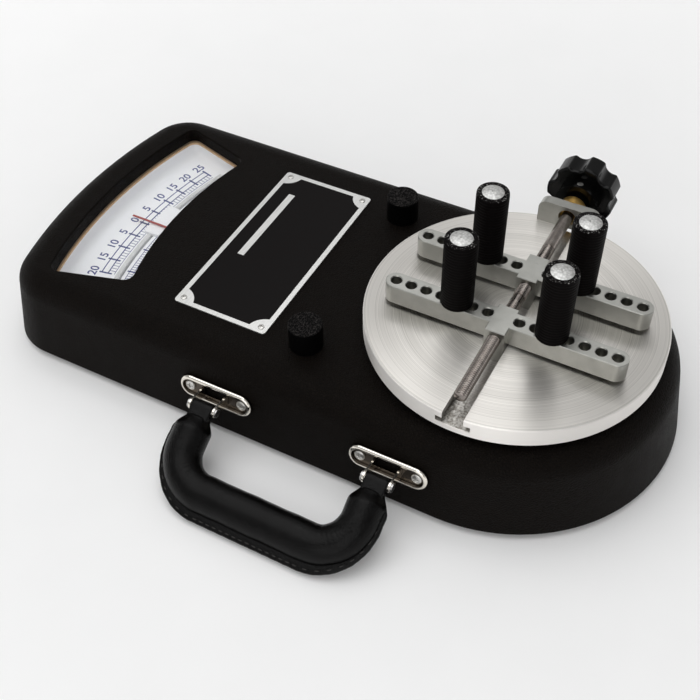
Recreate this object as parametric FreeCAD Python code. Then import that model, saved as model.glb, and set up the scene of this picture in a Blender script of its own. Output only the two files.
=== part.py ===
import FreeCAD, Part
import math
import os
from FreeCAD import Vector

os.makedirs("parts", exist_ok=True)

# Driving dimensions, in millimetres and degrees.
# Places are measured from the upright axis of the turning platform, and heights from the table.

# Case: a moulding that draws in towards the top, round about the platform axis at one end
half_width = 106.5
end_radius = 326.5
corner_radius = 37.0
case_height = 54.0
draft = 9.15
top_round = 16.0
wall = 4.5
roof = 4.5
foot_height = 5.0

# Bosses on the inside of the wall, which take the base screws
boss_radius = 7.0
boss_height = 18.0
boss_inset = 6.5
far_boss_set = 19.0
mid_boss_x = -92.0
near_boss_angle = 50.0

# Base plate, rubber feet and their screws
base_thickness = 3.0
base_gap = 0.2
foot_radius = 9.0
foot_tip_radius = 7.5
foot_pocket_depth = 3.0
foot_pocket_gap = 0.5
screw_radius = 2.0
screw_head_radius = 4.0
screw_head_height = 2.0
screw_bite = 12.0
screw_fit = 0.02
hole_spare = 0.5

# Dial window: a sector about the platform axis
window_margin = 32.5
window_width = 55.0
window_side_margin = 23.5
window_corner = 6.0
window_depth = 9.0
window_edge_round = 1.0
lip_width = 6.0
lip_spare_angle = 1.3
pane_thickness = 2.0
gasket_thickness = 1.0
gasket_show = 0.5

# Dial tray under the window, with its two scales and the bridge between them
dial_depth = 21.5
tray_wall = 2.0
tray_rim = 2.0
tray_floor = 2.0
tray_margin = 1.0
tray_spare_angle = 0.6
tray_corner = 8.0
tray_cove = 5.0
scale_thickness = 1.0
scale_end_angle = 1.1
scale_corner = 2.0
scale_margin = 7.0
main_scale_width = 28.2
scale_slot = 1.4
inner_scale_width = 15.9
bridge_inner_lap = 5.4
bridge_outer_lap = 6.2
bridge_half_angle = 3.3
bridge_turn = 1.45
bridge_height = 2.6
bridge_round = 1.0
dial_screw_radius = 1.25
dial_screw_head_radius = 2.0
dial_screw_head_height = 1.4
dial_screw_bite = 2.5
outer_screw_turn = 3.4
inner_screw_set = 3.0
outer_screw_set = 3.5

# Nameplate, left blank
plate_length = 140.0
plate_width = 64.5
plate_thickness = 0.8
plate_centre_x = -162.5
plate_corner = 2.0
plate_screw_inset = 4.5
plate_screw_head_radius = 2.0
plate_screw_head_height = 0.8
plate_screw_radius = 1.0
plate_screw_bite = 2.5

# Caps on the roof and the spring anchors that they clamp
cap_x = -104.4
cap_y = 64.3
cap_radius = 10.25
cap_height = 17.0
cap_round = 0.8
anchor_radius = 4.0
anchor_collar_radius = 8.0
anchor_collar = 3.0
anchor_stud = 11.0

# Platform disc with its tee slot
disc_radius = 88.9
disc_thickness = 12.7
disc_gap = 4.9
disc_chamfer = 0.6
slot_width = 12.7
slot_neck = 4.5
tee_width = 20.6
tee_height = 4.0

# Spindle, its bearings and their housing
flange_radius = 27.0
flange_lift = 0.6
collar_radius = 10.0
collar_hole_gap = 2.0
collar_seat_gap = 0.2
journal_radius = 7.5
bearing_outer = 16.0
bearing_width = 9.0
bearing_fit = 0.05
housing_radius = 24.0
housing_flange_radius = 35.0
housing_flange = 5.0
housing_length = 32.0
housing_bore = 12.0
housing_screw_circle = 29.5
housing_screw_bite = 3.0
flange_screw_circle = 20.0
flange_screw_pocket = 2.4
flange_screw_bite = 3.5
nut_across_corners = 24.0
nut_height = 4.2
nut_gap = 0.1
spindle_tail = 1.2

# Pointer: a bent arm on the spindle that carries the needle into the dial tray
arm_gap = 1.0
arm_thickness = 3.0
arm_hub_radius = 14.0
arm_hub_height = 6.5
arm_root_width = 20.0
arm_bend_width = 10.0
arm_bend = 126.0
riser_thickness = 2.0
arm_tip_width = 5.0
arm_strip_thickness = 1.5
needle_lift = 3.5
needle_thickness = 0.6
needle_width = 1.4
needle_tail = 21.0
needle_lap = 22.0
needle_stop = 7.7
rivet_radius = 0.5
rivet_head_radius = 1.2
rivet_head_height = 0.5
first_rivet_set = 4.0
second_rivet_set = 6.0

# Springs between the pointer arm and the anchors
spring_level = 5.5
spring_pin_radius = 1.5
spring_pin_set = 4.6
spring_pin_top = 9.5
anchor_pin_drop = 6.5
anchor_pin_rise = 5.0
spring_radius = 4.6
spring_groove = 0.6
spring_coils = 16
spring_body_start = 11.0
spring_body_end = 57.5
hook_radius = 2.9
hook_wire = 0.6
hook_gap = 0.1

# Leadscrew, the upright plate that carries it, and the star knob
screw_axis_height = 8.0
leadscrew_radius = 3.97
leadscrew_front = 81.0
leadscrew_chamfer = 0.9
thread_fit = 0.05
upright_front = 82.0
upright_thickness = 6.35
upright_width = 38.0
upright_height = 15.6
upright_corner = 5.5
upright_hole_radius = 5.6
upright_screw_x = 12.8
upright_screw_set = 2.7
upright_screw_radius = 1.4
upright_screw_head_radius = 2.2
upright_screw_pocket = 2.2
upright_screw_bite = 6.0
bush_radius = 8.0
bush_length = 5.6
bush_spigot = 3.2
knob_gap = 0.3
knob_nose_radius = 7.0
knob_nose = 2.6
knob_hub_radius = 13.5
knob_hub = 7.6
knob_radius = 22.0
knob_thickness = 15.5
knob_lobes = 7
scallop_radius = 6.5
scallop_centre = 25.5
lobe_round = 2.0
knob_edge_round = 1.5
leadscrew_grip = 18.0
set_screw_radius = 2.0
set_screw_sink = 0.6

# Jaw bars and the tee feet that guide them
hole_pitch = 9.525
holes_each_side = 7
hole_radius = 3.175
hole_chamfer = 0.5
bar_width = 12.7
bar_thickness = 12.7
bar_lift = 1.9
bar_chamfer = 0.4
jaw_rest = 21.65
hub_width = 12.2
hub_outer_reach = 6.4
hub_inner_reach = 2.9
guide_fit = 0.25
foot_screw_spacing = 13.0
foot_screw_radius = 1.5
foot_screw_head_radius = 2.8
foot_screw_head_height = 2.0
foot_screw_bite = 1.6

# Clamping posts: a steel rod with a ribbed sleeve, standing in a bar's hole
post_hole = 3
rod_radius = 6.35
post_height = 48.4
dome_height = 1.0
dimple_radius = 0.9
dimple_depth = 0.8
pin_fit = 0.07
pin_length = 12.0
sleeve_radius = 9.525
sleeve_fit = 0.02
sleeve_lift = 0.3
sleeve_drop = 1.0
sleeve_round = 0.7

# Carrying handle and its two brackets on the front wall
bracket_height = 25.8
handle_centre_x = -88.2
bracket_spacing = 115.5
bracket_length = 50.0
bracket_width = 15.5
bracket_base = 1.2
bracket_rim = 2.2
bracket_rim_height = 3.2
bracket_rim_round = 1.8
bracket_screw_spacing = 36.0
bracket_screw_radius = 1.8
bracket_screw_head_radius = 3.3
bracket_screw_head_height = 1.5
bracket_screw_bite = 7.0
ear_gap = 15.0
ear_thickness = 1.2
ear_width = 7.0
hinge_offset = 14.75
hinge_radius = 2.0
hinge_head_radius = 2.9
hinge_head = 1.2
hinge_fit = 0.06
tab_width = 14.0
tab_radius = 4.0
tab_thickness = 4.4
tab_length = 9.0
grip_radius = 10.9
grip_reach = 46.0
grip_corner = 23.0
seam_reach = 62.9
seam_half_width = 71.0
seam_corner = 35.0
seam_thickness = 3.0
floor_gap = 0.3

# Levels and places that follow from the dimensions
slope = math.tan(math.radians(draft))
case_bottom = foot_height
case_top = case_bottom + case_height
roof_under = case_top - roof
base_top = case_bottom + base_thickness
disc_low = case_top + disc_gap
disc_top = disc_low + disc_thickness
tee_top = disc_top - slot_neck
tee_low = tee_top - tee_height
screw_z = disc_top + screw_axis_height
bar_low = disc_top + bar_lift
bar_top = bar_low + bar_thickness
corner_y = half_width - corner_radius
corner_x = -math.sqrt((end_radius - corner_radius) ** 2 - corner_y ** 2)
window_outer = end_radius - window_margin
window_inner = window_outer - window_width
window_half_angle = math.degrees(math.asin((half_width - window_side_margin) / window_outer))
scale_half_angle = window_half_angle - scale_end_angle
inner_screw_angle = window_half_angle
outer_screw_angle = window_half_angle - outer_screw_turn
main_scale_outer = window_outer - scale_margin
main_scale_inner = main_scale_outer - main_scale_width
inner_scale_outer = main_scale_inner - scale_slot
inner_scale_inner = inner_scale_outer - inner_scale_width
bridge_inner = inner_scale_outer - bridge_inner_lap
bridge_outer = main_scale_inner + bridge_outer_lap
needle_inner = window_inner - needle_tail
needle_outer = main_scale_outer - needle_stop
arm_tip = needle_inner + needle_lap
first_rivet = needle_inner + first_rivet_set
second_rivet = arm_tip - second_rivet_set
lip_low = case_top - window_depth
pane_low = lip_low - pane_thickness
gasket_low = pane_low - gasket_thickness
rim_low = gasket_low - tray_rim
dial_top = case_top - dial_depth
dial_low = dial_top - scale_thickness
needle_low = dial_top + needle_lift
needle_top = needle_low + needle_thickness
housing_low = roof_under - housing_length
arm_top = housing_low - arm_gap
arm_low = arm_top - arm_thickness
arm_hub_low = arm_top - arm_hub_height
nut_top = arm_hub_low - nut_gap
spindle_low = nut_top - nut_height - spindle_tail
spring_z = arm_top + spring_level
upright_back = upright_front + upright_thickness
bush_back = upright_back + bush_length
nose_front = bush_back + knob_gap
hub_front = nose_front + knob_nose
star_front = hub_front + knob_hub
knob_back = star_front + knob_thickness
post_x = post_hole * hole_pitch
bracket_z = case_bottom + bracket_height
wall_y = -(half_width - bracket_height * slope)
hinge_y = wall_y - hinge_offset * math.cos(math.radians(draft))
hinge_z = bracket_z + hinge_offset * math.sin(math.radians(draft))
tilt = math.acos((hinge_z - grip_radius - floor_gap) / grip_reach)
left_x = handle_centre_x - bracket_spacing / 2
right_x = handle_centre_x + bracket_spacing / 2

# The origin is on the table, under the middle of the object's box
handle_front = hinge_y - seam_reach * math.sin(tilt) - seam_thickness / 2 * math.cos(tilt)
to_origin = Vector((end_radius - half_width) / 2, -(knob_back + handle_front) / 2, 0)

X_AXIS = Vector(1, 0, 0)
Y_AXIS = Vector(0, 1, 0)
Z_AXIS = Vector(0, 0, 1)
HERE = Vector(0, 0, 0)
PAST = 1.0
SIDES = (-1, 1)
SAME = 0.001


def save(name, *solids):
    """Write one node, moved from the platform axis to the object's own origin."""
    placed = [solid.translated(to_origin) for solid in solids]
    shape = placed[0] if len(placed) == 1 else Part.makeCompound(placed)
    shape.exportStep("parts/" + name + ".step")


def rod(radius, low, high, x=0.0, y=0.0):
    """An upright cylinder between two levels."""
    return Part.makeCylinder(radius, high - low, Vector(x, y, low))


def rod_y(radius, front, back, x, z):
    """A cylinder along Y."""
    return Part.makeCylinder(radius, back - front, Vector(x, front, z), Y_AXIS)


def rod_x(radius, start, end, y, z):
    """A cylinder along X."""
    return Part.makeCylinder(radius, end - start, Vector(start, y, z), X_AXIS)


def block(width, front, back, low, high, x=0.0):
    """A box that is centred on x."""
    return Part.makeBox(width, back - front, high - low, Vector(x - width / 2, front, low))


def joined(first, *others):
    """One solid from several that meet."""
    return first.fuse(list(others)).removeSplitter()


def upright_edges(solid):
    """The straight edges of a solid that run along Z."""
    lines = [edge for edge in solid.Edges if isinstance(edge.Curve, Part.Line)]
    return [edge for edge in lines if abs(edge.Curve.Direction.z) > 1 - SAME]


def edges_at(solid, level):
    """The edges of a solid that lie wholly at one level."""
    found = []
    for edge in solid.Edges:
        heights = edge.BoundBox
        if abs(heights.ZMin - level) < SAME and abs(heights.ZMax - level) < SAME:
            found.append(edge)
    return found


def polar(radius, degrees, z):
    """A point about the platform axis, at an angle from the middle of the dial towards +Y."""
    angle = math.radians(degrees)
    return Vector(-radius * math.cos(angle), radius * math.sin(angle), z)


def arc(start, middle, end):
    """A circular edge through three points."""
    return Part.Arc(start, middle, end).toShape()


def sector(inner, outer, half_angle, low, high):
    """A flat sector of a ring about the platform axis, on the side of the dial."""
    edges = [arc(polar(outer, -half_angle, low), polar(outer, 0, low), polar(outer, half_angle, low)),
             Part.makeLine(polar(outer, half_angle, low), polar(inner, half_angle, low)),
             arc(polar(inner, half_angle, low), polar(inner, 0, low), polar(inner, -half_angle, low)),
             Part.makeLine(polar(inner, -half_angle, low), polar(outer, -half_angle, low))]
    return Part.Face(Part.Wire(edges)).extrude(Vector(0, 0, high - low))


def rounded(solid, radius):
    """A flat solid with its upright corners rounded."""
    return solid.makeFillet(radius, upright_edges(solid))


def stadium(length, width, low, high):
    """A flat bar along X with full-round ends."""
    straight = length - width
    middle = block(straight, -width / 2, width / 2, low, high)
    ends = [rod(width / 2, low, high, side * straight / 2) for side in SIDES]
    return joined(middle, *ends)


def outline(inset, z):
    """The plan of the case: round end, straight sides, corner arcs and an end arc about the axis."""
    side = half_width - inset
    end = end_radius - inset
    corner = corner_radius - inset
    turn = math.atan2(corner_y, -corner_x)
    half_turn = (turn + math.pi / 2) / 2
    meet_x = -end * math.cos(turn)
    meet_y = end * math.sin(turn)
    bulge_x = corner_x - corner * math.cos(half_turn)
    bulge_y = corner_y + corner * math.sin(half_turn)
    edges = [arc(Vector(0, -side, z), Vector(side, 0, z), Vector(0, side, z)),
             Part.makeLine(Vector(0, side, z), Vector(corner_x, side, z)),
             arc(Vector(corner_x, side, z), Vector(bulge_x, bulge_y, z), Vector(meet_x, meet_y, z)),
             arc(Vector(meet_x, meet_y, z), Vector(-end, 0, z), Vector(meet_x, -meet_y, z)),
             arc(Vector(meet_x, -meet_y, z), Vector(bulge_x, -bulge_y, z), Vector(corner_x, -side, z)),
             Part.makeLine(Vector(corner_x, -side, z), Vector(0, -side, z))]
    return Part.Wire(edges)


def drafted(inset, high, rounding):
    """A block on the case's plan that draws in towards the top and has its top edge rounded."""
    low_wire = outline(inset, case_bottom)
    high_wire = outline(inset + (high - case_bottom) * slope, high)
    solid = Part.makeLoft([low_wire, high_wire], True, True)
    return solid.makeFillet(rounding, edges_at(solid, high))


def turned(points):
    """A solid of revolution about Z, from a closed profile of radius and height."""
    corners = [Vector(radius, 0, z) for radius, z in points]
    face = Part.Face(Part.makePolygon(corners + corners[:1]))
    return face.revolve(HERE, Z_AXIS, 360)


def screw_up(seat, length, radius, head_radius, head_height, x, y):
    """A pan-head screw that points up, its head under the seat."""
    profile = [(0, seat - head_height), (head_radius, seat - head_height), (head_radius, seat)]
    profile += [(radius, seat), (radius, seat + length), (0, seat + length)]
    return turned(profile).translated(Vector(x, y, 0))


def screw_down(seat, length, radius, head_radius, head_height, x, y):
    """A pan-head screw that points down, its head on the seat."""
    profile = [(0, seat - length), (radius, seat - length), (radius, seat)]
    profile += [(head_radius, seat), (head_radius, seat + head_height), (0, seat + head_height)]
    return turned(profile).translated(Vector(x, y, 0))


def on_wall(solid, x):
    """Move a piece that is built flat, with +Z outwards, to its place on the leaning front wall."""
    return solid.rotated(HERE, X_AXIS, 90 - draft).translated(Vector(x, wall_y, bracket_z))


def on_handle(solid):
    """Move a handle piece, built flat with +Y away from the hinge, to the way that it rests."""
    turned_down = solid.rotated(HERE, X_AXIS, 270 - math.degrees(tilt))
    return turned_down.translated(Vector(handle_centre_x, hinge_y, hinge_z))


def holes_at(places, radius, low, high):
    """Cutters for clearance holes at several places."""
    return [rod(radius + screw_fit, low, high, x, y) for x, y in places]


# Places of the screws
boss_reach = half_width - wall - boss_inset
far_x = corner_x + far_boss_set
near_x = boss_reach * math.cos(math.radians(near_boss_angle))
near_y = boss_reach * math.sin(math.radians(near_boss_angle))
foot_places = [(far_x, -boss_reach), (far_x, boss_reach), (near_x, -near_y), (near_x, near_y)]
mid_places = [(mid_boss_x, -boss_reach), (mid_boss_x, boss_reach)]
base_places = foot_places + mid_places
housing_step = housing_screw_circle * math.cos(math.radians(45))
housing_places = [(sx * housing_step, sy * housing_step) for sx in SIDES for sy in SIDES]
flange_step = flange_screw_circle * math.cos(math.radians(45))
flange_places = [(sx * flange_step, sy * flange_step) for sx in SIDES for sy in SIDES]
plate_step_x = plate_width / 2 - plate_screw_inset
plate_step_y = plate_length / 2 - plate_screw_inset
plate_places = [(plate_centre_x + sx * plate_step_x, sy * plate_step_y) for sx in SIDES for sy in SIDES]
dial_inner_points = [polar(window_inner - inner_screw_set, side * inner_screw_angle, 0) for side in SIDES]
dial_outer_points = [polar(window_outer + outer_screw_set, side * outer_screw_angle, 0) for side in SIDES]
dial_places = [(point.x, point.y) for point in dial_inner_points + dial_outer_points]
anchor_places = [(cap_x, -cap_y), (cap_x, cap_y)]
upright_places = [(side * upright_screw_x, upright_front + upright_screw_set) for side in SIDES]
bracket_screw_places = [(side * bracket_screw_spacing / 2, 0) for side in SIDES]

# Case shell, with a lip round the window and bosses on the wall
rim_inner = window_inner - lip_width
rim_outer = window_outer + lip_width
rim_half_angle = window_half_angle + lip_spare_angle


def window_frame(low, high):
    """The flat shape that the lip, the pane, the gasket and the tray's rim share."""
    return rounded(sector(rim_inner, rim_outer, rim_half_angle, low, high), window_corner)


def case_shell():
    outside = drafted(0, case_top, top_round)
    inside = drafted(wall, roof_under, top_round - wall)
    lip = window_frame(lip_low, roof_under + roof / 2)
    bosses = [rod(boss_radius, base_top, base_top + boss_height, x, y) for x, y in base_places]
    added = [piece.common(outside) for piece in [lip] + bosses]
    shell = joined(outside.cut(inside), *added)
    window = sector(window_inner, window_outer, window_half_angle, lip_low - PAST, case_top + PAST)
    window = rounded(window, window_corner)
    shell = shell.cut(window)
    reach = window.BoundBox
    brim = [edge for edge in edges_at(shell, case_top) if reach.isInside(edge.CenterOfMass)]
    shell = shell.makeFillet(window_edge_round, brim)
    holes = [rod(collar_radius + collar_hole_gap, roof_under - PAST, case_top + PAST)]
    holes += holes_at(base_places, screw_radius, base_top - PAST, base_top + screw_bite + hole_spare)
    housing_end = roof_under + housing_screw_bite + hole_spare
    holes += holes_at(housing_places, screw_radius, roof_under - PAST, housing_end)
    plate_end = case_top - plate_screw_bite - hole_spare
    holes += holes_at(plate_places, plate_screw_radius, plate_end, case_top + PAST)
    holes += holes_at(dial_places, dial_screw_radius, lip_low - PAST, lip_low + dial_screw_bite + hole_spare)
    holes += holes_at(anchor_places, anchor_radius, roof_under - PAST, case_top + PAST)
    bracket_holes = holes_at(bracket_screw_places, bracket_screw_radius, -bracket_screw_bite - wall, PAST)
    holes += [on_wall(hole, x) for hole in bracket_holes for x in (left_x, right_x)]
    return shell.cut(holes)


save("case_shell", case_shell())

# Base plate that closes the case from below
base_inset = wall + base_thickness * slope + base_gap
base_plate = Part.Face(outline(base_inset, case_bottom)).extrude(Vector(0, 0, base_thickness))
base_holes = holes_at(base_places, screw_radius, case_bottom - PAST, base_top + PAST)
save("base_plate", base_plate.cut(base_holes))

# Feet, with a pocket for the head of the screw that holds foot and base
foot_bore = screw_radius + screw_fit
foot_pocket = screw_head_radius + foot_pocket_gap
foot_shape = turned([(foot_bore, foot_pocket_depth), (foot_pocket, foot_pocket_depth), (foot_pocket, 0),
                     (foot_tip_radius, 0), (foot_radius, foot_height), (foot_bore, foot_height)])
save("feet", *[foot_shape.translated(Vector(x, y, 0)) for x, y in foot_places])
foot_screw_length = base_top + screw_bite - foot_pocket_depth
save("foot_screws", *[screw_up(foot_pocket_depth, foot_screw_length, screw_radius, screw_head_radius,
                               screw_head_height, x, y) for x, y in foot_places])
save("base_screws", *[screw_up(case_bottom, base_thickness + screw_bite, screw_radius, screw_head_radius,
                               screw_head_height, x, y) for x, y in mid_places])

# Clear pane and cork gasket under the lip of the window
pane_holes = holes_at(dial_places, dial_screw_radius, rim_low - PAST, lip_low + PAST)
save("window_pane", window_frame(pane_low, lip_low).cut(pane_holes))
gasket_angle = window_half_angle - math.degrees(gasket_show / window_outer)
gasket_hole = sector(window_inner + gasket_show, window_outer - gasket_show, gasket_angle,
                     gasket_low - PAST, pane_low + PAST)
gasket = window_frame(gasket_low, pane_low)
save("window_gasket", gasket.cut([rounded(gasket_hole, window_corner)] + pane_holes))

# Dial tray, open on the side towards the platform so that the pointer can swing in
room_inner = window_inner + tray_margin
room_outer = window_outer - tray_margin
room_angle = window_half_angle + tray_spare_angle
tub_angle = room_angle + math.degrees(tray_wall / room_inner)


def outer_corners(solid, radius):
    """A sector with its two corners on the outer arc rounded."""
    middle_x = -(room_inner + room_outer) / 2
    far = [edge for edge in upright_edges(solid) if edge.CenterOfMass.x < middle_x]
    return solid.makeFillet(radius, far)


def dial_tray():
    tub = sector(room_inner, room_outer + tray_wall, tub_angle, dial_low - tray_floor, rim_low)
    tub = outer_corners(tub, tray_corner + tray_wall)
    room = sector(room_inner - lip_width, room_outer, room_angle, dial_low, rim_low + PAST)
    room = outer_corners(room, tray_corner)
    floor_edges = [edge for edge in edges_at(room, dial_low) if edge.CenterOfMass.Length > room_inner]
    room = room.makeFillet(tray_cove, floor_edges)
    mouth = sector(room_inner, room_outer, room_angle, rim_low - PAST, gasket_low + PAST)
    rim = window_frame(rim_low, gasket_low).cut(outer_corners(mouth, tray_corner))
    slot_low = dial_low - tray_floor - PAST
    slot = sector(inner_scale_outer, main_scale_inner, scale_half_angle, slot_low, dial_low + PAST)
    return joined(tub.cut(room), rim).cut([slot] + pane_holes)


save("dial_tray", dial_tray())
dial_screw_length = lip_low + dial_screw_bite - rim_low
save("dial_screws", *[screw_up(rim_low, dial_screw_length, dial_screw_radius, dial_screw_head_radius,
                               dial_screw_head_height, x, y) for x, y in dial_places])

# Two printed scales on the tray's floor and the bridge across the slot between them
main_scale = sector(main_scale_inner, main_scale_outer, scale_half_angle, dial_low, dial_top)
save("main_scale", rounded(main_scale, scale_corner))
inner_scale = sector(inner_scale_inner, inner_scale_outer, scale_half_angle, dial_low, dial_top)
save("inner_scale", rounded(inner_scale, scale_corner))
bridge_top = dial_top + bridge_height
bridge = rounded(sector(bridge_inner, bridge_outer, bridge_half_angle, dial_top, bridge_top), scale_corner)
bridge = bridge.makeFillet(bridge_round, edges_at(bridge, bridge_top))
save("zero_bridge", bridge.rotated(HERE, Z_AXIS, -bridge_turn))

# Nameplate and its four small screws
plate_top = case_top + plate_thickness
nameplate = block(plate_width, -plate_length / 2, plate_length / 2, case_top, plate_top, plate_centre_x)
nameplate = rounded(nameplate, plate_corner)
plate_holes = holes_at(plate_places, plate_screw_radius, case_top - PAST, plate_top + PAST)
save("nameplate", nameplate.cut(plate_holes))
plate_screw_length = plate_thickness + plate_screw_bite
save("nameplate_screws", *[screw_down(plate_top, plate_screw_length, plate_screw_radius,
                                      plate_screw_head_radius, plate_screw_head_height, x, y)
                           for x, y in plate_places])

# Caps on the roof, screwed on the studs of the spring anchors
anchor_low = spring_z - anchor_pin_drop
anchor_pin_high = spring_z + anchor_pin_rise
collar_under = roof_under - anchor_collar
stud_top = case_top + anchor_stud
anchor = turned([(0, anchor_low), (spring_pin_radius, anchor_low), (spring_pin_radius, anchor_pin_high),
                 (anchor_radius, anchor_pin_high), (anchor_radius, collar_under),
                 (anchor_collar_radius, collar_under), (anchor_collar_radius, roof_under),
                 (anchor_radius, roof_under), (anchor_radius, stud_top), (0, stud_top)])
save("spring_anchors", *[anchor.translated(Vector(x, y, 0)) for x, y in anchor_places])
cap_top = case_top + cap_height


def anchor_cap(x, y):
    cap = rod(cap_radius, case_top, cap_top, x, y)
    cap = cap.makeFillet(cap_round, edges_at(cap, cap_top))
    return cap.cut(rod(anchor_radius + screw_fit, case_top - PAST, stud_top + hole_spare, x, y))


save("front_cap", anchor_cap(cap_x, -cap_y))
save("rear_cap", anchor_cap(cap_x, cap_y))

# Bearing housing under the roof, with a ball bearing at each end
upper_seat = roof_under - bearing_width
lower_seat = housing_low + bearing_width
flange_under = roof_under - housing_flange
seat_radius = bearing_outer + screw_fit
housing = turned([(seat_radius, housing_low), (housing_radius, housing_low), (housing_radius, flange_under),
                  (housing_flange_radius, flange_under), (housing_flange_radius, roof_under),
                  (seat_radius, roof_under), (seat_radius, upper_seat), (housing_bore, upper_seat),
                  (housing_bore, lower_seat), (seat_radius, lower_seat)])
housing_holes = holes_at(housing_places, screw_radius, flange_under - PAST, roof_under + PAST)
save("bearing_housing", housing.cut(housing_holes))
housing_screw_length = housing_flange + housing_screw_bite
save("housing_screws", *[screw_up(flange_under, housing_screw_length, screw_radius, screw_head_radius,
                                  screw_head_height, x, y) for x, y in housing_places])


def bearing(low):
    bore = journal_radius + bearing_fit
    high = low + bearing_width
    return turned([(bore, low), (bearing_outer, low), (bearing_outer, high), (bore, high)])


save("upper_bearing", bearing(upper_seat))
save("lower_bearing", bearing(housing_low))

# Platform disc with a tee slot across it
upright_seat = disc_low + upright_screw_pocket


def platform_disc():
    disc = rod(disc_radius, disc_low, disc_top)
    disc = disc.makeChamfer(disc_chamfer, edges_at(disc, disc_low) + edges_at(disc, disc_top))
    neck = block(slot_width, -disc_radius - PAST, disc_radius + PAST, tee_low, disc_top + PAST)
    tee = block(tee_width, -disc_radius - PAST, disc_radius + PAST, tee_low, tee_top)
    holes = holes_at(flange_places, screw_radius, disc_low - PAST, disc_low + flange_screw_bite + hole_spare)
    holes += holes_at(upright_places, upright_screw_radius, disc_low, disc_top + PAST)
    holes += holes_at(upright_places, upright_screw_head_radius, disc_low - PAST, upright_seat)
    return disc.cut([joined(neck, tee)] + holes)


save("platform_disc", platform_disc())

# Spindle: flange under the disc, collar through the roof, journal in the bearings
flange_low = case_top + flange_lift
collar_low = roof_under + collar_seat_gap
spindle = turned([(0, spindle_low), (journal_radius, spindle_low), (journal_radius, collar_low),
                  (collar_radius, collar_low), (collar_radius, flange_low), (flange_radius, flange_low),
                  (flange_radius, disc_low), (0, disc_low)])
flange_seat = flange_low + flange_screw_pocket
flange_holes = holes_at(flange_places, screw_radius, flange_low - PAST, disc_low + PAST)
flange_pockets = holes_at(flange_places, screw_head_radius, flange_low - PAST, flange_seat)
save("spindle", spindle.cut(flange_holes + flange_pockets))
flange_screw_length = disc_low + flange_screw_bite - flange_seat
save("platform_screws", *[screw_up(flange_seat, flange_screw_length, screw_radius, screw_head_radius,
                                   screw_head_height, x, y) for x, y in flange_places])
nut_corners = [polar(nut_across_corners / 2, turn, nut_top - nut_height) for turn in range(0, 360, 60)]
nut = Part.Face(Part.makePolygon(nut_corners + nut_corners[:1])).extrude(Vector(0, 0, nut_height))
save("spindle_nut", nut.cut(rod(journal_radius + screw_fit, spindle_low, nut_top + PAST)))


# Pointer arm: a plate from the spindle, a riser, and a thin strip that reaches into the dial tray
def tapered(inner, outer, inner_width, outer_width, low, high):
    """A flat tapering strip along -X."""
    corners = [Vector(-inner, -inner_width / 2, low), Vector(-inner, inner_width / 2, low),
               Vector(-outer, outer_width / 2, low), Vector(-outer, -outer_width / 2, low)]
    return Part.Face(Part.makePolygon(corners + corners[:1])).extrude(Vector(0, 0, high - low))


strip_top = needle_top + arm_strip_thickness
spring_pin_places = [(cap_x, -spring_pin_set), (cap_x, spring_pin_set)]
rivet_places = [(-first_rivet, 0), (-second_rivet, 0)]


def pointer_arm():
    hub = rod(arm_hub_radius, arm_hub_low, arm_top)
    bend_end = arm_bend + riser_thickness
    plate = tapered(0, bend_end, arm_root_width, arm_bend_width, arm_low, arm_top)
    riser = tapered(arm_bend, bend_end, arm_bend_width, arm_bend_width, arm_low, strip_top)
    strip = tapered(arm_bend, arm_tip, arm_bend_width, arm_tip_width, needle_top, strip_top)
    holes = [rod(journal_radius + screw_fit, arm_hub_low - PAST, arm_top + PAST)]
    holes += holes_at(spring_pin_places, spring_pin_radius, arm_low - PAST, arm_top + PAST)
    holes += holes_at(rivet_places, rivet_radius, needle_top - PAST, strip_top + PAST)
    return joined(hub, plate, riser, strip).cut(holes)


save("pointer_arm", pointer_arm())
needle_strip = tapered(needle_inner, needle_outer, needle_width, needle_width, needle_low, needle_top)
rivet_pads = [rod(rivet_head_radius, needle_low, needle_top, x, y) for x, y in rivet_places]
needle_holes = holes_at(rivet_places, rivet_radius, needle_low - PAST, needle_top + PAST)
save("needle", joined(needle_strip, *rivet_pads).cut(needle_holes))
rivet_length = strip_top - needle_low
save("needle_rivets", *[screw_down(strip_top, rivet_length, rivet_radius, rivet_head_radius,
                                   rivet_head_height, x, y) for x, y in rivet_places])
save("spring_pins", *[rod(spring_pin_radius, arm_low, arm_top + spring_pin_top, x, y)
                      for x, y in spring_pin_places])


# Extension springs from the pointer arm to the anchors, each with an eye at both ends
def spring(side):
    pitch = (spring_body_end - spring_body_start) / spring_coils
    profile = [(0, spring_body_start)]
    for coil in range(spring_coils):
        valley = spring_body_start + coil * pitch
        profile += [(spring_radius - spring_groove, valley), (spring_radius, valley + pitch / 2)]
    profile += [(spring_radius - spring_groove, spring_body_end), (0, spring_body_end)]
    body = turned(profile).rotated(HERE, X_AXIS, -90 * side).translated(Vector(cap_x, 0, spring_z))
    slack = hook_radius - hook_wire - spring_pin_radius - hook_gap
    near_eye = spring_pin_set + slack
    far_eye = cap_y - slack
    eyes = [Vector(cap_x, side * y, spring_z) for y in (near_eye, far_eye)]
    pieces = [Part.makeTorus(hook_radius, hook_wire, eye) for eye in eyes]
    links = [(near_eye + hook_radius, spring_body_start + pitch),
             (spring_body_end - pitch, far_eye - hook_radius)]
    for start, end in links:
        root = Vector(cap_x, side * start, spring_z)
        pieces.append(Part.makeCylinder(hook_wire, end - start, root, Vector(0, side, 0)))
    return joined(body, *pieces)


save("front_spring", spring(-1))
save("rear_spring", spring(1))


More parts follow.
